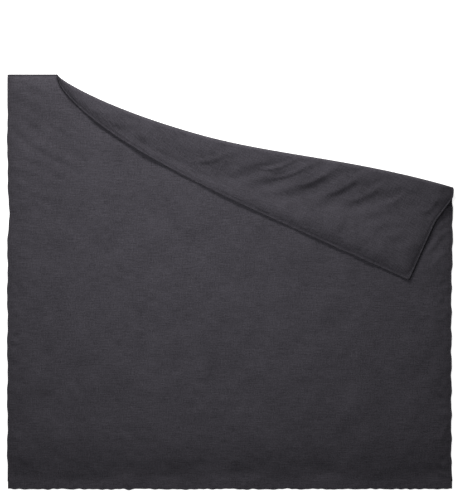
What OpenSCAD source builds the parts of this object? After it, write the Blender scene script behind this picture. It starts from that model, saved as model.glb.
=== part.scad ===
// Double duvet in a linen cover, lying flat with its head right corner turned
// back over itself. +X is the width, +Y points to the head end, +Z is up, and
// the origin is on the floor under the middle of the duvet.

/* [Duvet] */
// Width across the duvet, side seam to side seam
duvet_w = 2360; // [2000:10:2600]
// Length of the duvet, foot hem to head seam
duvet_l = 2200; // [2000:10:2400]
// Thickness of one layer, cover and insert together
layer_t = 36; // [24:1:50]
// Height of the edge seam above the floor
seam_z = 12; // [8:1:16]
// How far in from the seam the top surface reaches its full height
top_taper = 110; // [80:5:160]
// How far in from the seam the underside touches the floor
floor_taper = 60; // [40:5:100]

/* [Cover] */
// Thickness of the linen cover
cover_t = 0.8; // [0.6:0.1:1.2]
// Width of the sewn seam ridge round the edge
seam_w = 8; // [5:1:12]
// Depth of the hem strips at the foot opening
hem_w = 40; // [30:5:60]
// Thickness of one folded hem strip
hem_t = 1.6; // [1.2:0.2:2.4]
// Height above the floor at which the two foot hems meet
hem_z = 3.4; // [3:0.1:6]
// Length of the bar tack at each end of the foot opening
tack_l = 14; // [8:1:20]

/* [Turned corner] */
// Distance from the left seam to where the fold starts on the head seam
fold_start = 265; // [200:5:400]
// Drop from the head seam to where the fold meets the right seam
fold_drop = 600; // [500:10:700]
// How far the fold sags below the straight line between its ends
fold_sag = 105; // [40:5:110]
// Angle of the fold's hinge line below the X direction, in degrees
fold_angle = 15.2; // [14.8:0.1:15.6]
// How far the turned head seam bows out from a straight line
free_bow = 148; // [100:4:160]
// Gap between the lower layer and the turned corner
fold_gap = 0.6; // [0.6:0.1:1.2]

/* [Foot snaps] */
// Number of press studs along the foot opening
snap_count = 14; // [8:1:15]
// Distance between press studs
snap_pitch = 150; // [120:5:150]
// Radius of a press stud's outer flange
snap_r = 7.5; // [6:0.5:9]

/* [Insert] */
// Gap between the cover's seam and the edge of the insert
insert_inset = 24; // [15:1:40]
// Thickness of the insert's woven shell
shell_t = 0.5; // [0.4:0.1:0.8]
// Width of one quilted pocket
pocket_w = 286; // [240:10:320]
// Length of one quilted pocket
pocket_l = 300; // [260:10:340]
// Width of a line of quilting
quilt_t = 1.2; // [1:0.2:2]
// Width of the binding round the insert
binding_w = 5; // [4:1:8]

/* [Hidden] */
$fn = 32;

linen = [0.27, 0.26, 0.29];
seam_linen = [0.20, 0.19, 0.21];
cambric = [0.93, 0.92, 0.89];
wadding = [0.97, 0.97, 0.96];
thread = [0.85, 0.84, 0.80];
snap_metal = [0.45, 0.45, 0.48];

tiny = 0.1;
big = 3000;
fit_gap = 0.3;
edge_h = 2;              // half the height of a panel's edge at the seam
round_r = 35;            // radius of the duvet's corners
lap = 2;                 // how far a hollow runs past its shell, to leave it open
wall = [-0.25, -0.9];    // step from the fold's outer face to its inner face
clear = [-0.45, -1.6];   // step from the fold's outer face to the insert
skin_gap = 0.05;         // gap between layers that lie on each other inside the insert
hem_gap = 0.2;           // half the gap between the two hems
body_back = 3;           // gap between the hem strips and the cover's edge at the foot
hem_back_off = 0.5;      // how far a hem strip stops short of the foot line
flange_t = 0.8;          // thickness of a press stud's outer flange
knob_h = 1.3;            // height of a stud's knob
knob_r = 2.1;
socket_r = 2.7;
socket_roof = 0.3;       // metal left over a socket's hollow
tack_w = 3;
tack_start = 0.4;        // how far the bar tack starts inside the hem strip's end
corner_rise = 16;        // height of the corner's seam above the face it lies on
side_short = 54;         // how far below the fold's end the corner's side seam meets it
side_draw = [-22, 12];   // how far the corner's side edge draws in between its ends
corner_in = 0.9;         // how far the plan's point slides along the side edge, per mm drawn in
tip_in = 0.4;            // the same for the corner's thin tip, along the head edge
plan_up = 120;           // how far the corner's plan runs on past the fold
plan_far = 400;
bind_half = 4.5;         // half the height of the binding inside the corner
tip_cut = 120;           // the insert stops this far short of the corner's thin tip
ahead_step = 60;
side = duvet_w / 2;
head = duvet_l / 2;
foot_line = -head + hem_w;
axis_z = layer_t + fold_gap / 2;
flap_z = layer_t + fold_gap;
flap_seam_z = flap_z + corner_rise;
fold_a = [-side + fold_start, head];
fold_b = [side, head - fold_drop];
flap_corner = [944, 14];
flap_side_top = [side, head - fold_drop - side_short];

// How far the fold (or the free edge) lies below its own straight line, at t from 0 to 1
function fold_dip(t) = fold_sag * pow(sin(180 * pow(t, 0.66)), t < 0.35 ? 1 : 2);
function free_dip(t) = free_bow * sin(180 * pow(t, 0.51));
function between(a, b, t) = a + (b - a) * t;

fold_line = [for (i = [0:20]) between(fold_a, fold_b, i / 20) - [0, fold_dip(i / 20)]];
free_edge = [for (i = [0:16]) let (t = pow(i / 16, 1.6))
    between(fold_a, flap_corner, t) - [0, free_dip(t)]];
// The side edge of the turned corner draws in a little between its ends
flap_side = [for (t = [0.3, 0.6]) between(flap_corner, flap_side_top, t) + side_draw];

function moved(points, step) = [for (p = points) p + step];
function backwards(points) = [for (i = [len(points) - 1:-1:0]) points[i]];
// A line shifted towards the inside of the turned corner
function unit(v) = v / norm(v);
function inward(points, d) = [for (i = [0:len(points) - 1])
    let (a = points[max(i - 1, 0)], b = points[min(i + 1, len(points) - 1)], u = unit(b - a))
    points[i] + d * [-u[1], u[0]]];

module rounded(w, l, r) {
    square([w - 2 * r, l], center = true);
    square([w, l - 2 * r], center = true);
    for (x = [-1, 1], y = [-1, 1])
        translate([x * (w / 2 - r), y * (l / 2 - r)]) circle(r);
}

// Everything on the foot side of the fold, seen from above
module main_area(step = [0, 0]) {
    polygon(concat([[-big, -big], [-big, head + big]], [[fold_a[0], head + big] + step],
        moved(fold_line, step), [[big, fold_b[1]] + step, [big, -big]]));
}

// The turned corner, seen from above
module flap_area(step = [0, 0]) {
    polygon(concat(moved(fold_line, step), [flap_side_top + [step[0], 0]],
        backwards(flap_side), backwards(free_edge)));
}

// The thin strip that closes a layer along the fold
module fold_wall() {
    linear_extrude(4 * layer_t)
        polygon(concat(moved(fold_line, [0, 0]), backwards(moved(fold_line, wall))));
}

// Outer body of the flat duvet, drawn in by off all round and run out by run past the seams
module main_body(off = 0, run = 0) {
    w = duvet_w - 2 * seam_w - 2 * fit_gap;
    l = duvet_l - seam_w - hem_w - body_back;
    up = (layer_t - seam_z - edge_h) / top_taper;
    down = (seam_z - edge_h) / floor_taper;
    low = seam_z - edge_h + off + run * down;
    high = seam_z + edge_h - off - run * up;
    translate([0, (hem_w + body_back - seam_w) / 2, 0]) hull() {
        translate([0, 0, low]) linear_extrude(high - low)
            rounded(w + 2 * run, l + 2 * run, round_r);
        translate([0, 0, off]) linear_extrude(tiny)
            rounded(w - 2 * floor_taper, l - 2 * floor_taper, round_r);
        translate([0, 0, layer_t - off - tiny]) linear_extrude(tiny)
            rounded(w - 2 * top_taper, l - 2 * top_taper, round_r);
    }
}

// The flap's free edge and side edge drawn in by d
side_way = unit(flap_side_top - flap_corner);
side_in = [-side_way[1], side_way[0]];
function plan_edge(d) = let (in_edge = inward(free_edge, d))
    concat([for (i = [2:15]) in_edge[i]], [flap_corner + d * (side_in + corner_in * side_way)]);
function plan_top(d) = flap_side_top + d * side_in + [0, plan_up];
module flap_plan(d) {
    polygon(concat(plan_edge(d),
        [plan_top(d), [side - d, head - plan_far], [0, head], fold_a + [d * tip_in, 0]]));
}

module flap_body(off = 0, run = 0) {
    up = (layer_t - corner_rise - edge_h) / top_taper;
    down = (corner_rise - edge_h) / floor_taper;
    low = flap_seam_z - edge_h + off + run * down;
    high = flap_seam_z + edge_h - off - run * up;
    hull() {
        translate([0, 0, low]) linear_extrude(high - low) flap_plan(seam_w + fit_gap - run);
        translate([0, 0, flap_z + off]) linear_extrude(tiny) flap_plan(floor_taper);
        translate([0, 0, flap_z + layer_t - off - tiny]) linear_extrude(tiny)
            flap_plan(top_taper);
    }
}

module above(z) { translate([-big, -big, z]) cube([2 * big, 2 * big, big]); }
module below(z) { translate([-big, -big, z - big]) cube([2 * big, 2 * big, big]); }
module in_main(step) {
    intersection() {
        children();
        linear_extrude(big) main_area(step);
    }
}
module in_flap(step) {
    intersection() {
        children();
        linear_extrude(big) flap_area(step);
    }
}
// Carries a shape from the opened duvet over to the turned-back corner
module turned() {
    translate([fold_a[0], fold_a[1], axis_z]) rotate([0, 0, -fold_angle]) rotate([180, 0, 0])
        rotate([0, 0, fold_angle]) translate([-fold_a[0], -fold_a[1], -axis_z]) children();
}

module main_skin() {
    difference() {
        main_body();
        main_body(cover_t, lap);
    }
}
module flap_skin() {
    difference() {
        flap_body();
        flap_body(cover_t, lap);
    }
}

// Cover, flat part
module cover_top_main() {
    color(linen) in_main(wall) intersection() {
        main_skin();
        above(seam_z);
    }
}
module cover_back_main() {
    color(linen) {
        in_main(wall) intersection() {
            main_skin();
            below(seam_z);
        }
        intersection() {
            main_body();
            fold_wall();
            linear_extrude(big) translate([fold_a[0], -big]) square([big, 2 * big]);
        }
    }
}
module seam_bar(from, to) {
    translate([from[0], from[1], seam_z - edge_h + fit_gap])
        cube([to[0] - from[0], to[1] - from[1], 2 * (edge_h - fit_gap)]);
}
module side_seam_left() {
    color(seam_linen) seam_bar([-side, foot_line + body_back], [-side + seam_w, head]);
}
module side_seam_right() {
    color(seam_linen) seam_bar([side - seam_w, foot_line + body_back], [side, fold_b[1]]);
}
module head_seam_left() {
    color(seam_linen)
        seam_bar([-side + seam_w + fit_gap, head - seam_w], [fold_a[0], head]);
}
module hem_strip(z) {
    difference() {
        translate([-side, -head, z]) cube([duvet_w, hem_w - hem_back_off, hem_t]);
        at_snaps() translate([0, 0, z - tiny]) cylinder(h = hem_t + 2 * tiny, r = snap_r - 1);
    }
}
module at_snaps() {
    for (i = [0:snap_count - 1])
        translate([(i - (snap_count - 1) / 2) * snap_pitch, -head + hem_w / 2, 0]) children();
}
hem_back_z = hem_z - hem_t - hem_gap;
hem_top_z = hem_z + hem_gap;
module foot_hem_back() { color(seam_linen) hem_strip(hem_back_z); }
module foot_hem_top() { color(seam_linen) hem_strip(hem_top_z); }
module opening_tack(x) {
    color(seam_linen) translate([x, foot_line - tack_start, hem_back_z])
        cube([tack_l, tack_w, hem_t]);
}
module opening_tack_left() { opening_tack(-side + seam_w + fit_gap); }
module opening_tack_right() { opening_tack(side - seam_w - fit_gap - tack_l); }

// Press stud half on the back hem: flange under it, boss through it, knob on top
module snap_studs() {
    color(snap_metal) at_snaps() {
        translate([0, 0, hem_back_z - flange_t]) cylinder(h = flange_t, r = snap_r);
        translate([0, 0, hem_back_z]) cylinder(h = hem_t, r = snap_r - 1);
        translate([0, 0, hem_back_z + hem_t]) cylinder(h = knob_h, r = knob_r);
    }
}
// Socket half on the top hem: flange over it and a hollow that takes the knob
module snap_sockets() {
    color(snap_metal) at_snaps() {
        translate([0, 0, hem_top_z + hem_t]) cylinder(h = flange_t, r = snap_r);
        difference() {
            translate([0, 0, hem_top_z]) cylinder(h = hem_t, r = snap_r - 1);
            translate([0, 0, hem_top_z - 1])
                cylinder(h = hem_t + 1 - socket_roof, r = socket_r);
        }
    }
}

// Insert, flat part
insert_w = duvet_w - 2 * seam_w - 2 * insert_inset;
insert_l = duvet_l - seam_w - hem_w - 2 * insert_inset;
insert_y = (hem_w - seam_w) / 2;
shell_off = cover_t + fit_gap;
fill_off = shell_off + shell_t + skin_gap;
fill_in = binding_w + 0.6;        // how far the wadding stops inside the insert's edge
module insert_plan(d = 0) {
    translate([0, insert_y]) square([insert_w - 2 * d, insert_l - 2 * d], center = true);
}
module insert_skin_main() {
    in_main(clear) difference() {
        intersection() {
            main_body(shell_off);
            linear_extrude(big) insert_plan(binding_w + skin_gap);
        }
        main_body(shell_off + shell_t);
    }
}
module insert_shell_top_main() {
    color(cambric) intersection() {
        insert_skin_main();
        above(seam_z);
    }
}
module insert_shell_back_main() {
    color(cambric) intersection() {
        insert_skin_main();
        below(seam_z);
    }
}
pocket_cols = 8;
pocket_rows = 7;
function line_x(i) = (i - pocket_cols / 2) * pocket_w;
function line_y(j) = (j - pocket_rows / 2) * pocket_l + insert_y;
module pockets() {
    off = quilt_t / 2 + skin_gap;
    for (i = [0:pocket_cols - 1], j = [0:pocket_rows - 1])
        translate([line_x(i) + off, line_y(j) + off, 0])
            cube([pocket_w - 2 * off, pocket_l - 2 * off, big]);
}
module quilting() {
    for (i = [1:pocket_cols - 1])
        translate([line_x(i) - quilt_t / 2, -big, 0]) cube([quilt_t, 2 * big, big]);
    for (j = [1:pocket_rows - 1])
        translate([-big, line_y(j) - quilt_t / 2, 0]) cube([2 * big, quilt_t, big]);
}
module fill_space_main() {
    in_main(clear) intersection() {
        main_body(fill_off);
        linear_extrude(big) insert_plan(fill_in);
    }
}
module insert_fill_main() {
    color(wadding) intersection() {
        fill_space_main();
        pockets();
    }
}
module insert_quilting_main() {
    color(thread) intersection() {
        fill_space_main();
        quilting();
    }
}
// Binding strips round the edge of the insert, on the side named by where they stand
module binding(from, to) {
    color(cambric) in_main(clear) intersection() {
        main_body(shell_off);
        translate([from[0], from[1], 0]) cube([to[0] - from[0], to[1] - from[1], big]);
    }
}
bind_x = insert_w / 2;
bind_low = insert_y - insert_l / 2;
bind_high = insert_y + insert_l / 2;
module insert_binding_left() {
    binding([-bind_x, bind_low + binding_w + skin_gap], [-bind_x + binding_w, bind_high]);
}
module insert_binding_right() {
    binding([bind_x - binding_w, bind_low + binding_w + skin_gap], [bind_x, bind_high]);
}
module insert_binding_foot() { binding([-bind_x, bind_low], [bind_x, bind_low + binding_w]); }
module insert_binding_head() {
    binding([-bind_x + binding_w + skin_gap, bind_high - binding_w], [bind_x, bind_high]);
}

// Turned corner: its cover back faces up, and its cover top lies on the duvet
module cover_back_corner() {
    color(linen) {
        clear_of_seams() in_flap(wall) intersection() {
            flap_skin();
            above(flap_seam_z);
        }
        clear_of_seams() intersection() {
            flap_body();
            fold_wall();
            linear_extrude(big) flap_area();
        }
    }
}
module cover_top_corner() {
    color(linen) clear_of_seams() in_flap(wall) intersection() {
        flap_skin();
        below(flap_seam_z);
    }
}
corner_head = [for (i = [2:16]) free_edge[i]];
corner_side = concat([flap_corner], flap_side, [flap_side_top]);
// The band along an edge of the corner, d wide and h high either side of the seam
module edge_band(points, d, h) {
    translate([0, 0, flap_seam_z - h]) linear_extrude(2 * h) intersection() {
        polygon(concat(points, backwards(inward(points, d))));
        flap_area();
    }
}
module clear_of_seams() {
    difference() {
        children();
        edge_band(corner_head, seam_w + fit_gap, edge_h + tiny);
        edge_band(corner_side, seam_w + fit_gap, edge_h + tiny);
    }
}
module head_seam_corner() {
    color(seam_linen) edge_band(corner_head, seam_w, edge_h - fit_gap);
}
module side_seam_corner() {
    inner = inward([for (i = [12:16]) free_edge[i]], seam_w + fit_gap);
    ahead = inner[4] + ahead_step * unit(inner[4] - inner[3]);
    color(seam_linen) difference() {
        edge_band(corner_side, seam_w, edge_h - fit_gap);
        translate([0, 0, flap_z]) linear_extrude(layer_t)
            polygon(concat(inner, [ahead, ahead - [0, plan_far], inner[0] - [0, plan_far]]));
    }
}

module past_tip() { translate([fold_a[0] + tip_cut, -big]) square([2 * big, 2 * big]); }
module flap_insert_plan(d) {
    intersection() {
        flap_area(clear);
        flap_plan(insert_inset + seam_w + d);
        past_tip();
    }
}
module insert_skin_corner() {
    difference() {
        intersection() {
            flap_body(shell_off);
            linear_extrude(big) flap_insert_plan(binding_w + skin_gap);
        }
        flap_body(shell_off + shell_t);
    }
}
module insert_shell_back_corner() {
    color(cambric) intersection() {
        insert_skin_corner();
        above(flap_seam_z);
    }
}
module insert_shell_top_corner() {
    color(cambric) intersection() {
        insert_skin_corner();
        below(flap_seam_z);
    }
}
module fill_space_corner() {
    intersection() {
        flap_body(fill_off);
        linear_extrude(big) flap_insert_plan(fill_in);
    }
}
module insert_fill_corner() {
    color(wadding) intersection() {
        fill_space_corner();
        turned() translate([0, 0, -big / 2]) pockets();
    }
}
module insert_quilting_corner() {
    color(thread) intersection() {
        fill_space_corner();
        turned() translate([0, 0, -big / 2]) quilting();
    }
}
module binding_corner(points) {
    color(cambric) translate([0, 0, flap_seam_z - bind_half]) linear_extrude(2 * bind_half)
        intersection() {
            polygon(points);
            flap_area(clear);
            past_tip();
        }
}
bind_out = insert_inset + seam_w;
bind_in = bind_out + binding_w;
module insert_binding_head_corner() {
    binding_corner(concat(plan_edge(bind_out), backwards(plan_edge(bind_in))));
}
module insert_binding_side_corner() {
    binding_corner([plan_edge(bind_out)[14] + fit_gap * side_way, plan_top(bind_out),
        plan_top(bind_in), plan_edge(bind_in)[14] + fit_gap * side_way]);
}

cover_top_main();
cover_back_main();
side_seam_left();
side_seam_right();
head_seam_left();
foot_hem_back();
foot_hem_top();
opening_tack_left();
opening_tack_right();
snap_studs();
snap_sockets();
insert_shell_top_main();
insert_shell_back_main();
insert_fill_main();
insert_quilting_main();
insert_binding_left();
insert_binding_right();
insert_binding_foot();
insert_binding_head();
cover_top_corner();
cover_back_corner();
head_seam_corner();
side_seam_corner();
insert_shell_top_corner();
insert_shell_back_corner();
insert_fill_corner();
insert_quilting_corner();
insert_binding_head_corner();
insert_binding_side_corner();
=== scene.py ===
"""The looks of a linen duvet with its head right corner turned back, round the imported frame.

Every size is in metres, in the frame's own axes: +X across the duvet, +Y to the head end.
"""
import math

import bpy
import numpy as np
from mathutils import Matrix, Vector


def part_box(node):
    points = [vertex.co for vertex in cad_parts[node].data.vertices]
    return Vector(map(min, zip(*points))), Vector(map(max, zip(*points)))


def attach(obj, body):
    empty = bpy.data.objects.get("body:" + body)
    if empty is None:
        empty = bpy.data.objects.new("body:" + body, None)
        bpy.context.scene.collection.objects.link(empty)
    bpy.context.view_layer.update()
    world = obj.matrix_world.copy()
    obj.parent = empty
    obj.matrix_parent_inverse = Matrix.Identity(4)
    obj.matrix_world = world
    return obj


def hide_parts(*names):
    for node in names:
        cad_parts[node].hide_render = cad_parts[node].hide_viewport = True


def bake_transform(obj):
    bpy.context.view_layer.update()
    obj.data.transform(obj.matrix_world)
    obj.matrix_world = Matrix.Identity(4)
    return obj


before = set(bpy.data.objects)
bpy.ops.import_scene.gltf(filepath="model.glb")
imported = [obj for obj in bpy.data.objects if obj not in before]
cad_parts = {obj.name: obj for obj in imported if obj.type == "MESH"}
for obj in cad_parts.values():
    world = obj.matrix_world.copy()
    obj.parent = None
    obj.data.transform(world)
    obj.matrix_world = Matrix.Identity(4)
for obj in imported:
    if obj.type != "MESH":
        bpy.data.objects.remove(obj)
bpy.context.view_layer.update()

rng = np.random.default_rng(7)

# ---------------------------------------------------------------- sizes from the frame
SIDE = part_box("foot_hem_back")[1][0]
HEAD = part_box("head_seam_left")[1][1]
FOLD_A = np.array([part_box("head_seam_left")[1][0], HEAD])
FOLD_B = np.array([SIDE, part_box("side_seam_right")[1][1]])
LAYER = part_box("cover_top_main")[1][2]
FLAP_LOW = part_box("cover_top_corner")[0][2]
AXIS_Z = (LAYER + FLAP_LOW) / 2
FOLD_ANGLE = math.radians(15.2)
FLAP_CORNER = np.array([0.944, 0.014])
FOOT = -HEAD + 0.043             # where the panels end and the hem strips begin
SEAM_W = 0.008
SEAM_H = 0.0034
INSET = SEAM_W / 2               # the panels' edges run under the middle of the seam ridge

FOLD_SAG = 0.105                 # how far the fold lies below its own straight line
FREE_BOW = 0.148                 # the same for the corner's free edge
STEP = 0.0115
SEAM_Z = 0.012                   # height of the side and head seams
FOOT_Z = 0.0054                  # height of the seam at the foot
FLAP_SEAM_Z = 0.0435             # height of the turned corner's seam
MAIN_H = 0.0335                  # height of the flat part's upper face
FLAP_H = 0.0625                  # height of the turned corner's upper face
FLAP_TOP = 2 * AXIS_Z - 0.0004   # its peaks stay under this, or they pass the floor when opened
FLAP_HOLLOW = AXIS_Z + 0.0048    # its hollows stay over this, thick enough for the insert
ROLL = 0.020                     # how far the underside draws back beside the fold


# ---------------------------------------------------------------- outline and folding
def fold_line(t):
    """The fold's outer edge seen from above, at t from 0 on the head seam to 1 on the side seam."""
    t = np.clip(np.asarray(t, float), 0, 1)
    power = np.where(t < 0.35, 1, 2)
    dip = FOLD_SAG * np.abs(np.sin(np.pi * t**0.66)) ** power
    line = FOLD_A + (FOLD_B - FOLD_A) * t[..., None]
    return line - np.stack([np.zeros_like(dip), dip], -1)


def free_edge(t):
    """The turned head seam seen from above, from the fold's start to the corner."""
    t = np.clip(np.asarray(t, float), 0, 1)
    dip = FREE_BOW * np.sin(np.pi * t**0.51)
    line = FOLD_A + (FLAP_CORNER - FOLD_A) * t[..., None]
    return line - np.stack([np.zeros_like(dip), dip], -1)


def side_edge(s):
    """The turned side seam seen from above, from the fold's end to the corner."""
    knots = [0, 0.1, 0.4, 0.7, 1]
    x = np.interp(s, knots, [FOLD_B[0], FOLD_B[0] - 0.004, 1.082, 1.013, FLAP_CORNER[0]])
    y = np.interp(s, knots, [FOLD_B[1], FOLD_B[1] - 0.052, 0.322, 0.170, FLAP_CORNER[1]])
    return np.stack([x, y], -1)


def opened(xy):
    """Where a point of the turned corner lies once it is opened out flat: the mirror of xy."""
    along = np.array([math.cos(FOLD_ANGLE), -math.sin(FOLD_ANGLE)])
    v = xy - FOLD_A
    on_axis = (v @ along)[..., None] * along
    return FOLD_A + 2 * on_axis - v


def smooth(x, a, b):
    t = np.clip((x - a) / (b - a), 0, 1)
    return t * t * (3 - 2 * t)


def puff(d, reach, power=2.2):
    """0 at the seam, rising to 1 at reach from it, rounded as a filled edge is."""
    return 1 - (1 - np.clip(d / reach, 0, 1)) ** power


def lines(a, b, step, close_a=True, close_b=True):
    """Grid lines from a to b, closer together beside an edge that has a seam."""
    near = np.array([0, 0.004, 0.009, 0.014, 0.020])
    start = a + near if close_a else np.array([a])
    end = b - near[::-1] if close_b else np.array([b])
    count = max(2, int(round((end[0] - start[-1]) / step)))
    middle = np.linspace(start[-1], end[0], count + 1)[1:-1]
    return np.concatenate([start, middle, end])


# ---------------------------------------------------------------- soft relief of the filled layer
class Waves:
    """Smooth random height field: a sum of plane waves of about one wavelength."""

    def __init__(self, wavelength, count=28, angle=0.0, spread=math.pi):
        turn = angle + (rng.random(count) - 0.5) * 2 * spread
        size = 2 * math.pi / wavelength * (0.7 + 0.6 * rng.random(count))
        self.k = np.stack([np.cos(turn) * size, np.sin(turn) * size], -1)
        self.phase = rng.random(count) * 2 * math.pi
        self.gain = math.sqrt(2 / count)

    def __call__(self, xy):
        total = np.zeros(xy.shape[:-1])
        for k, p in zip(self.k, self.phase):
            total += np.sin(xy @ k + p)
        return total * self.gain


broad = Waves(0.55)
medium = Waves(0.21)
small = Waves(0.075)
diagonal = Waves(0.11, angle=math.radians(118), spread=0.35)
pucker = Waves(0.055)
slant = Waves(0.085, angle=math.radians(57), spread=0.3)


def crease(xy, start, end, width, depth):
    """One soft crease from start to end: a narrow ridge with a shallow hollow on each side."""
    a, b = np.array(start), np.array(end)
    way = (b - a) / np.linalg.norm(b - a)
    v = xy - a
    along = (v @ way) / np.linalg.norm(b - a)
    across = v @ np.array([-way[1], way[0]]) + 0.012 * np.sin(along * 5)
    fade = smooth(along, -0.15, 0.25) * (1 - smooth(along, 0.7, 1.15))
    r = across / width
    before, after = 0.45 * np.exp(-((r - 1.6) ** 2)), 0.3 * np.exp(-((r + 1.7) ** 2))
    return depth * fade * (np.exp(-r * r) - before - after)


# start, end, width and height of the soft wrinkles that lie on the flat part
MAIN_WRINKLES = [
    ((1.165, -0.74), (1.095, -0.90), 0.010, 0.0035),
    ((1.090, -0.98), (1.160, -1.05), 0.010, 0.0030),
    ((1.165, 0.40), (1.040, 0.29), 0.013, 0.0035),
    ((1.170, 0.27), (1.030, 0.16), 0.013, 0.0040),
    ((1.170, 0.16), (1.050, 0.08), 0.011, 0.0030),
    ((1.170, -0.05), (1.080, -0.12), 0.012, 0.0020),
    ((-1.04, 0.92), (-0.70, 0.70), 0.016, 0.0020),
    ((-1.10, 0.80), (-0.78, 0.58), 0.018, 0.0016),
    ((-0.86, 0.98), (-0.52, 0.76), 0.014, 0.0014),
    ((-1.15, 0.55), (-0.95, 0.42), 0.016, 0.0016),
]
FLAP_WRINKLES = [
    ((0.17, 0.610), (0.40, 0.665), 0.010, 0.0050),
    ((0.22, 0.560), (0.47, 0.640), 0.010, 0.0045),
    ((0.36, 0.520), (0.60, 0.625), 0.012, 0.0036),
    ((0.50, 0.470), (0.74, 0.590), 0.014, 0.0034),
    ((0.64, 0.440), (0.88, 0.560), 0.014, 0.0025),
    ((0.80, 0.420), (0.98, 0.500), 0.013, 0.0025),
    ((-0.20, 0.640), (0.05, 0.700), 0.014, 0.0030),
    ((1.02, 0.380), (1.12, 0.460), 0.010, 0.0030),
]


def wrinkles(xy, rows):
    return sum(crease(xy, *row) for row in rows)


def edge_reach(xy):
    """Distance of each point from the turned corner's free edge, and how far along the edge it is."""
    at = np.linspace(0, 1, 60)
    line = free_edge(at)
    gap = np.full(xy.shape[:-1], 9.0)
    where = np.zeros(xy.shape[:-1])
    for place, point in zip(at, line):
        d = np.hypot(xy[..., 0] - point[0], xy[..., 1] - point[1])
        where = np.where(d < gap, place, where)
        gap = np.minimum(gap, d)
    return gap, where


def main_relief(xy, d):
    """Height to add to the duvet's upper face: undulation, and puckers that fade in from the seams."""
    h = 0.0018 * broad(xy) + 0.0013 * medium(xy) + 0.0005 * small(xy)
    h += 0.0013 * pucker(xy) * np.exp(-((d - 0.035) / 0.03) ** 2)
    upper_left = smooth(-xy[..., 0], 0.3, 0.8) * smooth(xy[..., 1], 0.3, 0.6)
    h += 0.0008 * slant(xy) * upper_left
    # the turned corner's edge presses a shallow trough into the layer under it
    reach, at = edge_reach(xy)
    h -= 0.0035 * np.exp(-((reach / 0.045) ** 2)) * smooth(at, 0.04, 0.12) * (1 - smooth(at, 0.5, 0.75))
    return h + wrinkles(xy, MAIN_WRINKLES)


def flap_relief(xy, s, t, length):
    """Height to add to the turned corner.

    It falls away from a high roll at the fold. Towards the left it keeps falling to the free edge.
    Towards the right it falls into a long hollow, and rises again before the free edge.
    """
    far = s * length
    left = 1 - smooth(t, 0.45, 0.62)
    right = smooth(t, 0.24, 0.42)
    roll = (0.009 + 0.005 * left) * np.exp(-((far / 0.10) ** 2)) * smooth(t, 0.05, 0.3)
    deep = 0.0155 + 0.002 * left
    hollow = deep * np.exp(-((far - 0.20) / 0.10) ** 2) * right * (1 - 0.55 * smooth(t, 0.72, 0.95))
    fall = 0.014 * smooth(far, 0.02, 0.17) * smooth(t, 0.08, 0.2) * (1 - right)
    h = roll * (0.6 + 0.4 * right) - hollow - fall
    h += 0.0045 * smooth(s, 0.55, 0.85) * smooth(t, 0.34, 0.52)
    h += 0.0014 * medium(xy * 1.2 + 3) + 0.0007 * small(xy)
    h += 0.0020 * diagonal(xy) * smooth(t, 0.35, 0.6) * (1 - smooth(s, 0.55, 0.85))
    return h + wrinkles(xy, FLAP_WRINKLES)


# ---------------------------------------------------------------- grids shared by both panels
xs_left = lines(-SIDE + INSET, FOLD_A[0], STEP, close_b=False)
xs_right = lines(FOLD_A[0], SIDE - INSET, STEP, close_a=False)
xs = np.concatenate([xs_left, xs_right[1:]])
FIRST = len(xs_left) - 1                   # the column where the fold starts
ts = (xs[FIRST:] - FOLD_A[0]) / (FOLD_B[0] - FOLD_A[0])
ts[-1] = 1


def head_y(x):
    t = (x - FOLD_A[0]) / (FOLD_B[0] - FOLD_A[0])
    return np.where(x < FOLD_A[0], HEAD - INSET, fold_line(t)[..., 1] - INSET * (1 - smooth(t, 0, 0.02)))


def main_grid():
    """Points (rows, columns, 2) of the flat part, from the foot seam to the head seam or the fold."""
    near = np.array([0, 0.004, 0.009, 0.014, 0.020])
    top = head_y(xs)
    count = int(round((2 * HEAD) / STEP))
    middle = np.linspace(0, 1, count + 1)[1:-1, None]
    low, high = FOOT + near[-1], top - near[-1]
    rows = np.concatenate([
        np.repeat(FOOT + near[:, None], len(xs), 1),
        low + (high - low) * middle,
        top - near[::-1, None],
    ])
    return np.stack([np.repeat(xs[None, :], len(rows), 0), rows], -1)


def flap_rows(count, length):
    """Row places from 0 at the fold to 1 at the free edge, with the seam's close lines at the end."""
    near = np.array([0.020, 0.014, 0.009, 0.004, 0])[:, None] / np.maximum(length, 0.06)[None]
    middle = np.linspace(0, 1, count)[:-1, None] * (1 - near[:1])
    return np.concatenate([middle, 1 - near])


def flap_points(s, t):
    """Seen from above, the turned corner's point at s from the fold to the free edge, in column t."""
    f, e = fold_line(t), free_edge(t)
    side = side_edge(s) - (FOLD_B + (FLAP_CORNER - FOLD_B) * s[..., None])
    return f + (e - f) * s[..., None] + side * smooth(t, 0.75, 1)[..., None]


def seam_distance(xy):
    """Distance from the side and head seams, with the corners between them rounded off."""
    left, right = xy[..., 0] + SIDE - INSET, SIDE - INSET - xy[..., 0]
    head = HEAD - INSET - xy[..., 1]
    sharp = 60
    total = sum(np.exp(-sharp * np.clip(d, 0, 1)) for d in (left, right, head))
    return np.clip(-np.log(total) / sharp, 0, None)


def seam_height(xy):
    return FOOT_Z + (SEAM_Z - FOOT_Z) * smooth(xy[..., 1] - FOOT, 0, 0.16)


def main_base(xy, d):
    """The plain height of the duvet's upper face: rounded at its seams, easing down to the foot."""
    seam = seam_height(xy)
    return seam + (MAIN_H - seam) * puff(d, 0.11) * smooth(xy[..., 1] - FOOT, 0, 0.26)


def groove(d):
    """The dent that the topstitching presses into the cloth beside a seam."""
    return 0.0016 * np.exp(-((d - 0.0095) / 0.0035) ** 2)


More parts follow.
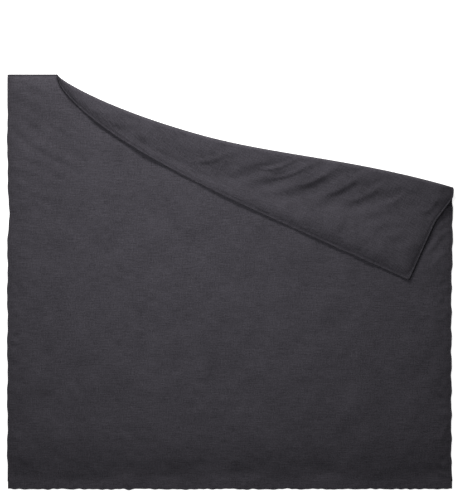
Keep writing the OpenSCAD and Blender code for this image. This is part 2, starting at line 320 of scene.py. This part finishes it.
def add_mesh(name, verts, faces, uvs=None):
    mesh = bpy.data.meshes.new(name)
    mesh.from_pydata([tuple(v) for v in verts], [], [tuple(int(i) for i in f) for f in faces])
    mesh.validate()
    if uvs is not None:
        layer = mesh.uv_layers.new(name="cloth")
        index = np.zeros(len(mesh.loops), int)
        mesh.loops.foreach_get("vertex_index", index)
        layer.data.foreach_set("uv", np.asarray(uvs)[index].astype(np.float32).ravel())
    mesh.polygons.foreach_set("use_smooth", [True] * len(mesh.polygons))
    piece = bpy.data.objects.new(name, mesh)
    bpy.context.scene.collection.objects.link(piece)
    return piece


def quads(ids):
    a, b, c, d = ids[:-1, :-1], ids[:-1, 1:], ids[1:, 1:], ids[1:, :-1]
    return np.stack([a, b, c, d], -1).reshape(-1, 4)


def round_fold(flap):
    """Where the back panel's weave runs: on round the outside of the fold without a break."""
    fold = fold_line(ts)[None]
    turned = opened(flap[..., :2]) - opened(fold)
    up = np.minimum(flap[..., 2], FLAP_H)
    return fold + turned + np.stack([0 * up, up], -1)


def panel(name, main, flap, flip):
    """One cloth panel: the flat grid, and the turned grid that goes on from its fold columns."""
    rows, columns = main.shape[:2]
    ids = np.arange(rows * columns).reshape(rows, columns)
    extra = np.arange(flap.shape[0] * flap.shape[1]).reshape(flap.shape[:2]) + rows * columns
    turned = np.concatenate([ids[-1:, FIRST:], extra])
    verts = np.concatenate([main.reshape(-1, 3), flap.reshape(-1, 3)])
    faces = np.concatenate([quads(ids), quads(turned)])
    if flip:
        faces = faces[:, ::-1]
    weave = round_fold(flap) if flip else opened(flap[..., :2])
    flat = np.concatenate([main[..., :2].reshape(-1, 2), weave.reshape(-1, 2)])
    return add_mesh(name, verts, faces, flat)


def edge_draw(xy):
    """How far the side seams wander from a straight line: a slow draw and small scallops."""
    x, y = xy[..., 0], xy[..., 1]
    fade = smooth(y, FOOT, FOOT + 0.08) * (1 - smooth(y, 0.40, 0.50))
    left = 0.009 * np.exp(-((y - 0.38) / 0.13) ** 2)
    left = left + 0.002 * np.sin(y * 23) + 0.0012 * np.sin(y * 71 + 1)
    right = -0.006 * smooth(-y, -0.2, 0.05) - 0.0022 * np.sin(y * 47) - 0.0009 * np.sin(y * 103 + 2)
    left *= smooth(y, FOOT, FOOT + 0.08) * (1 - smooth(y, 0.8, 1.0))
    return left * smooth(-x, 0.95, SIDE - INSET) + right * fade * smooth(x, 0.95, SIDE - INSET)


main_xy = main_grid()
main_xy[..., 0] += edge_draw(main_xy)
main_d = seam_distance(main_grid())
edge_z = seam_height(main_xy)

# how far each fold column is from the two ends of the fold, where the roll dies away
end_d = np.minimum(ts, 1 - ts) * np.linalg.norm(FOLD_B - FOLD_A)
end_f = puff(end_d, 0.10)

FLAP_ROWS = 48
flap_len = np.linalg.norm(free_edge(ts) - fold_line(ts), axis=-1)
flap_s = flap_rows(FLAP_ROWS, flap_len)
flap_t = np.repeat(ts[None, :], len(flap_s), 0)
flap_xy = flap_points(flap_s, flap_t)


def flap_distance(s, t):
    """Distance from the turned corner's free edge and side edge."""
    length = np.linalg.norm(free_edge(t) - fold_line(t), axis=-1)
    free = (1 - s) * length
    side = (1 - t) * 2.1
    return np.clip(-np.log(np.exp(-60 * free) + np.exp(-60 * np.clip(side, 0, 1))) / 60, 0, None)


flap_d = flap_distance(flap_s, flap_t)


# ---------------------------------------------------------------- cloth simulation
def settled(name, points, loose, limit, frames=20):
    """Lets a sheet that is a little too large for its edges buckle over its filling.

    points is a grid (rows, columns, 3), loose how much larger the cloth is at each point.
    Returns how far each point moved, no further than limit.
    """
    rows, columns = points.shape[:2]
    ids = np.arange(rows * columns).reshape(rows, columns)
    rough = points.copy()
    rough[1:-1, 1:-1, 2] += 0.0006 * (rng.random((rows - 2, columns - 2)) - 0.5)
    sheet = add_mesh(name, rough.reshape(-1, 3), quads(ids))
    pin = sheet.vertex_groups.new(name="pin")
    hold = np.full((rows, columns), 0.045)
    hold[[0, -1], :] = 1
    hold[:, [0, -1]] = 1
    grow = sheet.vertex_groups.new(name="grow")
    for i, (h, g) in enumerate(zip(hold.ravel(), loose.ravel())):
        pin.add([i], float(h), "REPLACE")
        grow.add([i], float(g), "REPLACE")
    cloth = sheet.modifiers.new("cloth", "CLOTH")
    cloth.settings.quality = 6
    cloth.settings.mass = 0.25
    cloth.settings.tension_stiffness = 30
    cloth.settings.compression_stiffness = 30
    cloth.settings.shear_stiffness = 12
    cloth.settings.bending_stiffness = 0.6
    cloth.settings.air_damping = 4
    cloth.settings.vertex_group_mass = "pin"
    cloth.settings.pin_stiffness = 1.0
    cloth.settings.effector_weights.gravity = 0
    cloth.settings.vertex_group_shrink = "grow"
    cloth.settings.shrink_min = 0
    cloth.settings.shrink_max = -0.03
    cloth.point_cache.frame_start = 1
    cloth.point_cache.frame_end = frames
    scene = bpy.context.scene
    for frame_number in range(1, frames + 1):
        scene.frame_set(frame_number)
    done = sheet.evaluated_get(bpy.context.evaluated_depsgraph_get())
    end = np.zeros(rows * columns * 3)
    done.data.vertices.foreach_get("co", end)
    bpy.data.objects.remove(sheet, do_unlink=True)
    scene.frame_set(1)
    shift = end.reshape(rows, columns, 3) - points
    size = np.linalg.norm(shift, axis=-1, keepdims=True)
    return shift * np.minimum(1, limit / np.maximum(size, 1e-9))


def resampled(field, row, column):
    """field at fractional rows and columns, smoothly."""
    r = np.clip(row * (field.shape[0] - 1), 0, field.shape[0] - 1.001)
    c = np.clip(column * (field.shape[1] - 1), 0, field.shape[1] - 1.001)
    i, j = r.astype(int), c.astype(int)
    u, v = (r - i)[..., None], (c - j)[..., None]
    u, v = u * u * (3 - 2 * u), v * v * (3 - 2 * v)
    top = field[i, j] * (1 - v) + field[i, j + 1] * v
    low = field[i + 1, j] * (1 - v) + field[i + 1, j + 1] * v
    return top * (1 - u) + low * u


def main_settled():
    """How the cover's upper face moves from its plain shape as it settles over the insert."""
    columns, rows = 116, 108
    x = np.linspace(-SIDE + INSET, SIDE - INSET, columns)
    f = np.linspace(0, 1, rows)[:, None]
    xy = np.stack([np.repeat(x[None], rows, 0), FOOT + (head_y(x) - FOOT) * f], -1)
    d = seam_distance(xy)
    z = main_base(xy, d)
    beside = np.clip((xy[..., 1] - head_y(x)) / -0.25, 0, 1)
    loose = 0.10 + 0.25 * np.exp(-((d / 0.06) ** 2))
    loose = loose + 0.10 * smooth(broad(xy), 0.3, 1.4) + 0.1 * (1 - beside)
    shift = settled("cover_top_sim", np.dstack([xy, z]), loose, 0.006)
    row = (main_xy[..., 1] - FOOT) / (head_y(xs) - FOOT)
    column = (main_xy[..., 0] + SIDE - INSET) / (2 * (SIDE - INSET))
    return resampled(shift, row, column)


def flap_settled(s, t):
    """The same for the face of the turned corner, which is slacker beside the fold."""
    columns, rows = 104, 30
    tt = np.repeat(np.linspace(0.01, 1, columns)[None], rows, 0)
    ss = np.repeat(np.linspace(0, 1, rows)[:, None], columns, 1)
    xy = flap_points(ss, tt)
    d = flap_distance(ss, tt)
    length = np.linalg.norm(free_edge(tt) - fold_line(tt), axis=-1)
    z = FLAP_SEAM_Z + (FLAP_H - FLAP_SEAM_Z) * puff(d, 0.09)
    z += flap_relief(xy, ss, tt, length) * smooth(d, 0, 0.06)
    slack = 0.5 * np.exp(-((ss - 0.12) / 0.25) ** 2) * smooth(tt, 0.3, 0.6)
    loose = 0.16 + slack * (1 - smooth(tt, 0.75, 0.95))
    shift = settled("cover_back_sim", np.dstack([xy, z]), loose, 0.008)
    return resampled(shift, s, (t - 0.01) / 0.99)


def top_panel():
    z = main_base(main_xy, main_d)
    foot_d = main_xy[..., 1] - FOOT
    fade = smooth(np.minimum(main_d, foot_d), 0.0, 0.05)
    z += main_relief(main_xy, main_d) * fade - groove(main_d) * smooth(foot_d, 0, 0.02)
    main = np.dstack([main_xy, z]) + main_settled()
    main[..., 2] = np.minimum(main[..., 2], AXIS_Z - 0.0006)
    low = FLAP_SEAM_Z - (FLAP_SEAM_Z - AXIS_Z - 0.0009) * puff(flap_d, 0.04)
    flap = np.dstack([flap_xy, low])[1:]
    return panel("cover_top_panel", main, flap, False)


# The steep middle of the roll is one strip that crosses the joint. When the corner is opened it
# stretches out flat, well below the top panel.
ROLL_ANGLES = np.radians([15, 30, 45, 60])


def roll_rows(base, high, back, inward):
    """The back panel's way round the outside of the fold, from the floor side up to the turned face."""
    outer = fold_line(ts)
    rows = []
    for a in ROLL_ANGLES:
        draw = back * (1 - np.sin(a) / np.sin(ROLL_ANGLES[-1]))
        point = outer - np.stack([0 * back, draw], -1)
        rows.append(np.dstack([point[None], (base + (AXIS_Z - base) * (1 - np.cos(a)))[None]]))
    for a in ROLL_ANGLES[::-1]:
        draw = back * (1 - np.sin(a) / np.sin(ROLL_ANGLES[-1]))
        point = outer + inward * draw[:, None]
        rows.append(np.dstack([point[None], (high + (AXIS_Z - high) * (1 - np.cos(a)))[None]]))
    return rows


def kept_under(z, limit, knee):
    """z, with its peaks rounded off so that they stay under limit."""
    start = limit - knee
    return np.minimum(z, start) + knee * (1 - np.exp(-np.clip(z - start, 0, None) / knee))


def back_panel():
    foot_d = main_xy[..., 1] - FOOT
    start = 0.0022 + (edge_z - 0.0022) * smooth(foot_d, 0, 0.05)
    z = start * (1 - puff(np.minimum(main_d, foot_d), 0.06)) + 0.0005
    # beside the fold the flat part draws back from the fold's outer edge, to where the roll begins
    xy = main_xy.copy()
    back = ROLL * end_f * smooth(ts, 0, 0.01)
    reach = np.clip((xy[:, FIRST:, 1] - (xy[-1:, FIRST:, 1] - 0.12)) / 0.12, 0, 1)
    xy[:, FIRST:, 1] -= back * reach
    main = np.dstack([xy, z])
    inward = free_edge(ts) - fold_line(ts)
    inward /= np.maximum(np.linalg.norm(inward, axis=-1), 1e-6)[:, None]
    inward[0] = inward[1]
    top = FLAP_SEAM_Z + (FLAP_H - FLAP_SEAM_Z) * puff(flap_d, 0.09)
    relief = flap_relief(flap_xy, flap_s, flap_t, flap_len[None])
    top += relief * smooth(flap_d, 0.0, 0.06) - groove(flap_d)
    points = flap_xy + (inward * back[:, None])[None] * (1 - flap_s[..., None])
    shift = flap_settled(flap_s, flap_t)
    face = np.dstack([points, top]) + shift
    face[..., 2] = kept_under(face[..., 2], FLAP_TOP, 0.004)
    face[..., 2] = -kept_under(-face[..., 2], -FLAP_HOLLOW, 0.002)
    rows = roll_rows(z[-1, FIRST:], face[0, :, 2], back, inward)
    return panel("cover_back_panel", main, np.concatenate(rows + [face]), True)


cover_top = top_panel()
cover_back = back_panel()


# ---------------------------------------------------------------- seams and stitches
def tube(name, path, width, height, sides=10, wave=0.0):
    """A flattened cord along path: the folded ridge of a seam."""
    path = np.asarray(path, float)
    way = np.gradient(path, axis=0)
    way[:, 2] *= 0.2
    way /= np.maximum(np.linalg.norm(way, axis=1), 1e-9)[:, None]
    across = np.stack([-way[:, 1], way[:, 0], 0 * way[:, 0]], -1)
    across /= np.maximum(np.linalg.norm(across, axis=1), 1e-9)[:, None]
    up = np.cross(way, across)
    turn = np.linspace(0, 2 * math.pi, sides, endpoint=False)
    flat = np.sign(np.cos(turn)) * np.abs(np.cos(turn)) ** 0.7
    swell = 1 + wave * pucker(path[:, :2] * 1.7)
    rings = path[:, None] + across[:, None] * (flat[None, :, None] * width / 2)
    rings = rings + up[:, None] * (np.sin(turn)[None, :, None] * height / 2 * swell[:, None, None])
    count = len(path)
    ids = np.arange(count * sides).reshape(count, sides)
    ids = np.concatenate([ids, ids[:, :1]], 1)
    first, last = tuple(range(sides)), tuple(range((count - 1) * sides, count * sides))[::-1]
    faces = [tuple(q[::-1]) for q in quads(ids)] + [first, last]
    return add_mesh(name, rings.reshape(-1, 3), faces)


def evenly(path, step):
    """Points at even steps along a line of points."""
    path = np.asarray(path, float)
    far = np.concatenate([[0], np.cumsum(np.linalg.norm(np.diff(path, axis=0), axis=1))])
    at = np.linspace(0, far[-1], max(2, int(far[-1] / step)) + 1)
    return np.stack([np.interp(at, far, path[:, i]) for i in range(3)], -1)


def stitches(name, path, length=0.0034, gap=0.0016, thick=0.0007, lift=0.0002):
    """A row of separate stitches: short flattened threads that dip at both ends."""
    at = evenly(path, length + gap)
    start, way = at[:-1], np.diff(at, axis=0)
    way /= np.maximum(np.linalg.norm(way, axis=1), 1e-9)[:, None]
    across = np.cross(way, np.array([0, 0, 1.0]))
    across /= np.maximum(np.linalg.norm(across, axis=1), 1e-9)[:, None]
    up = np.cross(across, way)
    verts, faces = [], []
    for place, (f, r) in enumerate([(0, 0.4), (0.25, 1), (0.75, 1), (1, 0.4)]):
        high = lift + thick * (0.35 if r == 1 else -0.3)
        for c, u in [(-1, 0), (0, 1), (1, 0), (0, -1)]:
            rise = up * (high + u * r * thick / 2)
            verts.append(start + way * f * length + across * c * r * thick / 2 + rise)
    verts = np.stack(verts, 1)
    shape = []
    for ring in range(3):
        for k in range(4):
            a, b = ring * 4 + k, ring * 4 + (k + 1) % 4
            shape.append((a, b, b + 4, a + 4))
    shape += [(3, 2, 1, 0), (12, 13, 14, 15)]
    for i in range(len(start)):
        faces += [tuple(16 * i + k for k in face) for face in shape]
    return add_mesh(name, verts.reshape(-1, 3), faces)


def edge_path(points):
    return evenly(points, 0.012)


NEAR_ROW = 2                      # the grid line that lies 9 mm in from an edge, under the stitching
top_points = np.array([v.co for v in cover_top.data.vertices])
back_points = np.array([v.co for v in cover_back.data.vertices])
main_shape = main_xy.shape[:2]
main_top = top_points[:main_shape[0] * main_shape[1]].reshape(main_shape + (3,))
main_back = back_points[:main_shape[0] * main_shape[1]].reshape(main_shape + (3,))
flap_face = back_points[main_shape[0] * main_shape[1]:].reshape(-1, len(ts), 3)[2 * len(ROLL_ANGLES):]
flap_under = top_points[main_shape[0] * main_shape[1]:].reshape(-1, len(ts), 3)
flap_under = np.concatenate([main_top[-1:, FIRST:], flap_under])
TIP = int(np.searchsorted(ts, 0.07))       # the insert stops here, short of the corner's thin tip


def at_fold(point):
    """The two points, just under and just over the hinge line, where a seam passes the fold."""
    return [np.append(point[:2], AXIS_Z + dz) for dz in (-0.0012, 0.0012)]


def seam_pieces():
    """The three seam ridges, two of which run on round the turned corner, and their stitches."""
    left, right = main_top[:, 0], main_top[:, -1]
    head = main_top[-1, :FIRST + 1]
    free = flap_face[-1, :]
    side = flap_face[::-1, -1]
    head_path = np.concatenate([edge_path(head), at_fold(head[-1]), edge_path(free[2:])])
    down = at_fold(right[-1])[::-1]
    side_path = np.concatenate([edge_path(side)[:-1], down, edge_path(right[::-1])])
    paths = {"side_seam_left": edge_path(left), "head_seam": head_path, "side_seam_right": side_path}
    pieces = [tube(name, path, SEAM_W, SEAM_H, wave=0.12) for name, path in paths.items()]
    rows = [
        stitches("stitches_left", main_top[3:, NEAR_ROW]),
        stitches("stitches_head", main_top[-1 - NEAR_ROW, 3:FIRST - 1]),
        stitches("stitches_right", main_top[3:-2, -1 - NEAR_ROW]),
        stitches("stitches_corner_head", flap_face[-1 - NEAR_ROW, 8:-NEAR_ROW]),
        stitches("stitches_corner_side", flap_face[8:-NEAR_ROW, -1 - NEAR_ROW]),
    ]
    return pieces, rows


seams, stitch_rows = seam_pieces()


# ---------------------------------------------------------------- foot hems and snaps
SNAPS = 14
SNAP_PITCH = 0.150
SNAP_Y = -HEAD + 0.020


def snap_bumps(xy, reach):
    total = np.zeros(xy.shape[:-1])
    for i in range(SNAPS):
        centre = np.array([(i - (SNAPS - 1) / 2) * SNAP_PITCH, SNAP_Y])
        total += np.exp(-(((xy - centre) ** 2).sum(-1) / reach**2) ** 1.5)
    return total


def hem(name, low, high, top_bump, low_bump):
    """One folded hem strip, closed all round, that swells over each press stud."""
    x = lines(-SIDE + 0.002, SIDE - 0.002, 0.005, False, False)
    y = np.array([-HEAD + 0.001, -HEAD + 0.003, -HEAD + 0.010, SNAP_Y - 0.006, SNAP_Y, SNAP_Y + 0.006,
                  FOOT - 0.010, FOOT - 0.004, FOOT + 0.002, FOOT + 0.006])
    grid = np.stack(np.meshgrid(x, y), -1)
    edge = smooth(-grid[..., 1], -FOOT, HEAD)
    bulge = 0.0022 * snap_bumps(grid * [1, 0] + [0, SNAP_Y], 0.03)
    grid[..., 1] -= edge * (bulge + 0.0012 * pucker(grid * [1, 0]))
    round_edge = puff(y + HEAD - 0.001, 0.004)[:, None]
    middle = (low + high) / 2
    half = (high - low) / 2 * (0.35 + 0.65 * round_edge)
    bump = snap_bumps(grid, 0.0135)
    free = smooth(FOOT - grid[..., 1], 0, 0.008)
    upper = middle + half + top_bump * bump + 0.0003 * pucker(grid * 1.3) * free
    lower = middle - half - low_bump * bump
    rows, columns = grid.shape[:2]
    ids = np.arange(rows * columns).reshape(rows, columns)
    under = ids + rows * columns
    loop = np.concatenate([ids[0, :-1], ids[:-1, -1], ids[-1, :0:-1], ids[:0:-1, 0]])
    wall = np.stack([loop, np.roll(loop, -1)], -1)
    faces = [tuple(q) for q in quads(ids)] + [tuple(q[::-1]) for q in quads(under)]
    faces += [(a, a + rows * columns, b + rows * columns, b) for a, b in wall]
    face = np.dstack([grid, upper])
    verts = np.concatenate([face.reshape(-1, 3), np.dstack([grid, lower]).reshape(-1, 3)])
    return add_mesh(name, verts, faces, np.concatenate([grid.reshape(-1, 2)] * 2)), face


hem_top, hem_face = hem("foot_hem_top_strip", 0.0037, 0.0053, 0.0017, 0)
hem_back, _ = hem("foot_hem_back_strip", 0.0014, 0.0031, 0, 0.0010)
hem_stitches = stitches("stitches_foot", hem_face[6, 2:-2])


# ---------------------------------------------------------------- the quilted insert inside
POCKET_W, POCKET_L = 0.286, 0.300


def quilt_dip(flat):
    """1 on a line of quilting, falling to 0 in the middle of a pocket."""
    middle = (0.040 - SEAM_W) / 2
    across = np.abs((flat[..., 0] / POCKET_W + 0.5) % 1 - 0.5) * POCKET_W
    along = np.abs(((flat[..., 1] - middle) / POCKET_L) % 1 - 0.5) * POCKET_L
    return np.exp(-(np.minimum(across, along) / 0.022))


def pad(name, upper, lower, flat, edge_d):
    """A closed quilted pad that fills the space between two faces, grids of points."""
    rows, columns = upper.shape[:2]
    # the clearances shrink where the two faces are close, so that the pad never turns inside out
    room = np.clip((upper[..., 2] - lower[..., 2]) / 0.008, 0, 1)
    low, high = lower[..., 2] + 0.0015 * room, upper[..., 2] - 0.0025 * room
    half = (high - low) / 2 * (0.16 + 0.84 * puff(edge_d, 0.07) * (1 - 0.62 * quilt_dip(flat)))
    middle = (high + low) / 2
    ids = np.arange(rows * columns).reshape(rows, columns)
    under = ids + rows * columns
    loop = np.concatenate([ids[0, :-1], ids[:-1, -1], ids[-1, :0:-1], ids[:0:-1, 0]])
    faces = [tuple(q) for q in quads(ids)] + [tuple(q[::-1]) for q in quads(under)]
    faces += [(a, a + rows * columns, b + rows * columns, b) for a, b in zip(loop, np.roll(loop, -1))]
    verts = [np.dstack([upper[..., :2], z]).reshape(-1, 3) for z in (middle + half, middle - half)]
    return add_mesh(name, np.concatenate(verts), faces, np.concatenate([flat.reshape(-1, 2)] * 2))


def rim_distance(points):
    """Distance of each grid point from the grid's own edge, along its rows and columns."""
    across = np.linalg.norm(np.diff(points[..., :2], axis=1), axis=-1)
    along = np.linalg.norm(np.diff(points[..., :2], axis=0), axis=-1)
    left = np.pad(np.cumsum(across, 1), ((0, 0), (1, 0)))
    low = np.pad(np.cumsum(along, 0), ((1, 0), (0, 0)))
    return np.minimum.reduce([left, left[:, -1:] - left, low, low[-1:] - low])


def insert_pieces():
    """The insert lies 30 to 60 mm inside the cover's seams and just short of the fold."""
    rows, columns = slice(8, -8, 2), slice(6, -6, 2)
    upper, lower = main_top[rows, columns], main_back[rows, columns]
    main = pad("insert_quilt_main", upper, lower, upper[..., :2], rim_distance(upper))
    rows, columns = slice(3, -8), slice(TIP, -8, 2)
    upper, lower = flap_face[rows, columns], flap_under[rows, columns]
    corner = pad("insert_quilt_corner", upper, lower, opened(upper[..., :2]), rim_distance(upper))
    return main, corner


insert_main, insert_corner = insert_pieces()


# ---------------------------------------------------------------- materials
def new_material(name, rough, sheen=0.0, specular=0.3):
    mat = bpy.data.materials.new(name)
    mat.use_nodes = True
    nodes, links = mat.node_tree.nodes, mat.node_tree.links
    shader = nodes["Principled BSDF"]
    shader.inputs["Roughness"].default_value = rough
    shader.inputs["Specular IOR Level"].default_value = specular
    shader.inputs["Sheen Weight"].default_value = sheen
    shader.inputs["Sheen Roughness"].default_value = 0.5
    return mat, nodes, links, shader


def node(nodes, kind, **values):
    n = nodes.new(kind)
    for key, value in values.items():
        setattr(n, key, value)
    return n


def scaled(nodes, links, source, scale):
    m = node(nodes, "ShaderNodeMapping")
    m.inputs["Scale"].default_value = scale
    links.new(source, m.inputs["Vector"])
    return m.outputs["Vector"]


def noise_at(nodes, links, vector, scale, detail=3, rough=0.55):
    n = node(nodes, "ShaderNodeTexNoise")
    n.inputs["Scale"].default_value = scale
    n.inputs["Detail"].default_value = detail
    n.inputs["Roughness"].default_value = rough
    links.new(vector, n.inputs["Vector"])
    return n.outputs["Fac"]


def maths(nodes, links, kind, a, b=None):
    m = node(nodes, "ShaderNodeMath", operation=kind)
    for socket, value in zip(m.inputs, (a, b)):
        if isinstance(value, (int, float)):
            socket.default_value = value
        elif value is not None:
            links.new(value, socket)
    return m.outputs[0]


def linen(name, dark, light, uv=True):
    """Slubbed plain-weave linen: long streaks along warp and weft, a soft mottle and fine threads."""
    mat, nodes, links, shader = new_material(name, 0.94, sheen=0.05, specular=0.10)
    coords = node(nodes, "ShaderNodeTexCoord")
    place = coords.outputs["UV"] if uv else coords.outputs["Object"]
    weft = noise_at(nodes, links, scaled(nodes, links, place, (16, 230, 16)), 1.0, 4, 0.6)
    warp = noise_at(nodes, links, scaled(nodes, links, place, (260, 20, 20)), 1.0, 4, 0.6)
    mottle = noise_at(nodes, links, place, 6, 2, 0.5)
    fleck = noise_at(nodes, links, place, 150, 3, 0.75)
    a = maths(nodes, links, "ADD", maths(nodes, links, "MULTIPLY", weft, 0.28),
              maths(nodes, links, "MULTIPLY", warp, 0.20))
    b = maths(nodes, links, "ADD", maths(nodes, links, "MULTIPLY", mottle, 0.08),
              maths(nodes, links, "MULTIPLY", fleck, 0.44))
    tone = maths(nodes, links, "ADD", a, b)
    ramp = node(nodes, "ShaderNodeValToRGB")
    ramp.color_ramp.elements[0].position = 0.40
    ramp.color_ramp.elements[0].color = (*dark, 1)
    ramp.color_ramp.elements[1].position = 0.60
    ramp.color_ramp.elements[1].color = (*light, 1)
    links.new(tone, ramp.inputs["Fac"])
    links.new(ramp.outputs["Color"], shader.inputs["Base Color"])
    bump = node(nodes, "ShaderNodeBump")
    bump.inputs["Strength"].default_value = 0.5
    bump.inputs["Distance"].default_value = 0.0012
    links.new(tone, bump.inputs["Height"])
    links.new(bump.outputs["Normal"], shader.inputs["Normal"])
    return mat


def cotton(name, colour, scale):
    """Plain fine cotton or thread: an even tone with a little mottle and a fine weave."""
    mat, nodes, links, shader = new_material(name, 0.85, sheen=0.1, specular=0.2)
    place = node(nodes, "ShaderNodeTexCoord").outputs["Object"]
    mottle = noise_at(nodes, links, place, 30, 4, 0.6)
    weave = noise_at(nodes, links, place, scale, 2, 0.6)
    tone = maths(nodes, links, "ADD", maths(nodes, links, "MULTIPLY", mottle, 0.5),
                 maths(nodes, links, "MULTIPLY", weave, 0.5))
    ramp = node(nodes, "ShaderNodeValToRGB")
    ramp.color_ramp.elements[0].position = 0.3
    ramp.color_ramp.elements[0].color = (*[c * 0.8 for c in colour], 1)
    ramp.color_ramp.elements[1].position = 0.7
    ramp.color_ramp.elements[1].color = (*colour, 1)
    links.new(tone, ramp.inputs["Fac"])
    links.new(ramp.outputs["Color"], shader.inputs["Base Color"])
    bump = node(nodes, "ShaderNodeBump")
    bump.inputs["Strength"].default_value = 0.3
    bump.inputs["Distance"].default_value = 0.0005
    links.new(weave, bump.inputs["Height"])
    links.new(bump.outputs["Normal"], shader.inputs["Normal"])
    return mat


def stud_metal():
    """Dull steel with fine brushed scratches."""
    mat, nodes, links, shader = new_material("stud_steel", 0.38, specular=0.5)
    shader.inputs["Metallic"].default_value = 0.9
    place = node(nodes, "ShaderNodeTexCoord").outputs["Object"]
    scratch = noise_at(nodes, links, scaled(nodes, links, place, (900, 120, 120)), 1.0, 3, 0.6)
    ramp = node(nodes, "ShaderNodeValToRGB")
    ramp.color_ramp.elements[0].color = (0.26, 0.26, 0.28, 1)
    ramp.color_ramp.elements[1].color = (0.46, 0.46, 0.48, 1)
    links.new(scratch, ramp.inputs["Fac"])
    links.new(ramp.outputs["Color"], shader.inputs["Base Color"])
    bump = node(nodes, "ShaderNodeBump")
    bump.inputs["Strength"].default_value = 0.15
    bump.inputs["Distance"].default_value = 0.0002
    links.new(scratch, bump.inputs["Height"])
    links.new(bump.outputs["Normal"], shader.inputs["Normal"])
    return mat


def dress(pieces, material):
    for piece in pieces:
        piece.data.materials.clear()
        piece.data.materials.append(material)


cloth = linen("charcoal_linen", (0.0226, 0.0212, 0.0256), (0.0600, 0.0562, 0.0670))
seam_cloth = linen("seam_linen", (0.0170, 0.0160, 0.0195), (0.0500, 0.0470, 0.0560), uv=False)
stitch_thread = cotton("charcoal_thread", (0.048, 0.045, 0.053), 900)
insert_cotton = cotton("insert_cotton", (0.80, 0.79, 0.75), 700)
studs = stud_metal()

dress([cover_top, cover_back, hem_top, hem_back], cloth)
dress(seams, seam_cloth)
dress(stitch_rows + [hem_stitches], stitch_thread)
dress([insert_main, insert_corner], insert_cotton)
for name in ("snap_studs", "snap_sockets"):
    dress([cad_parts[name]], studs)
for name in ("opening_tack_left", "opening_tack_right"):
    dress([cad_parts[name]], stitch_thread)


# ---------------------------------------------------------------- hiding the frame's parts, and tying the pieces to their bodies
side_left, head_seam, side_right = seams
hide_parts("cover_top_main", "cover_top_corner")
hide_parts("cover_back_main", "cover_back_corner")
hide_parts("side_seam_left")
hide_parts("head_seam_left", "head_seam_corner")
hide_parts("side_seam_right", "side_seam_corner")
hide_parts("foot_hem_top")
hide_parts("foot_hem_back")
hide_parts("insert_shell_top_main", "insert_shell_back_main", "insert_fill_main",
            "insert_quilting_main", "insert_binding_left", "insert_binding_right",
            "insert_binding_foot", "insert_binding_head")
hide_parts("insert_shell_top_corner", "insert_shell_back_corner",
            "insert_fill_corner", "insert_quilting_corner", "insert_binding_head_corner",
            "insert_binding_side_corner")

for piece in (cover_top, cover_back, head_seam, side_right):
    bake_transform(piece)
for piece in (side_left, hem_back, insert_main, *stitch_rows[:3]):
    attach(piece, "duvet")
for piece in (insert_corner, *stitch_rows[3:]):
    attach(piece, "turned_corner")
for piece in (hem_top, hem_stitches):
    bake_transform(piece)


# ---------------------------------------------------------------- floor, light and camera
FLOOR_GLOW = 0.8                 # keeps the floor white where the light falls off
WORLD_LIGHT = 0.13               # light that the surroundings give
WORLD_LOOK = 0.88                # how pale they look
KEY_POWER, TOP_POWER = 164, 27


def stage():
    mesh = bpy.data.meshes.new("floor")
    r = 30
    mesh.from_pydata([(-r, -r, 0), (r, -r, 0), (r, r, 0), (-r, r, 0)], [], [(0, 1, 2, 3)])
    floor = bpy.data.objects.new("floor", mesh)
    bpy.context.scene.collection.objects.link(floor)
    mat, nodes, links, shader = new_material("pale_floor", 0.9, specular=0.1)
    shader.inputs["Base Color"].default_value = (0.92, 0.92, 0.92, 1)
    shader.inputs["Emission Color"].default_value = (1, 1, 1, 1)
    shader.inputs["Emission Strength"].default_value = FLOOR_GLOW
    mesh.materials.append(mat)


def area_light(name, place, aim, size, power, colour=(1, 1, 1)):
    data = bpy.data.lights.new(name, "AREA")
    data.shape = "RECTANGLE"
    data.size, data.size_y = size
    data.energy = power
    data.color = colour
    light = bpy.data.objects.new(name, data)
    light.location = place
    light.rotation_euler = (Vector(aim) - Vector(place)).to_track_quat("-Z", "Y").to_euler()
    light.visible_camera = False
    bpy.context.scene.collection.objects.link(light)


def lights():
    area_light("key_head", (-0.5, 3.3, 1.9), (0, -0.6, 0), (2.0, 0.8), KEY_POWER, (1, 0.985, 0.97))
    area_light("top", (-0.30, 0.25, 2.1), (-0.30, 0.25, 0), (0.9, 0.9), TOP_POWER, (0.985, 0.99, 1))
    world = bpy.data.worlds.new("studio")
    world.use_nodes = True
    world.node_tree.nodes["Background"].inputs["Color"].default_value = (1, 1, 1, 1)
    # the surroundings look pale, and light the duvet only weakly
    tree = world.node_tree
    seen = tree.nodes.new("ShaderNodeLightPath")
    strength = tree.nodes.new("ShaderNodeMapRange")
    strength.inputs["To Min"].default_value = WORLD_LIGHT
    strength.inputs["To Max"].default_value = WORLD_LOOK
    tree.links.new(seen.outputs["Is Camera Ray"], strength.inputs["Value"])
    tree.links.new(strength.outputs["Result"], tree.nodes["Background"].inputs["Strength"])
    bpy.context.scene.world = world


def camera():
    data = bpy.data.cameras.new("camera")
    data.lens = 135
    data.sensor_width = 36
    height = 2.645 * data.lens / data.sensor_width
    cam = bpy.data.objects.new("camera", data)
    cam.location = (-0.0106, 0.169, height + 0.03)
    data.clip_end = 60
    bpy.context.scene.collection.objects.link(cam)
    bpy.context.scene.camera = cam


stage()
lights()
camera()
bpy.context.scene.view_settings.view_transform = "Standard"
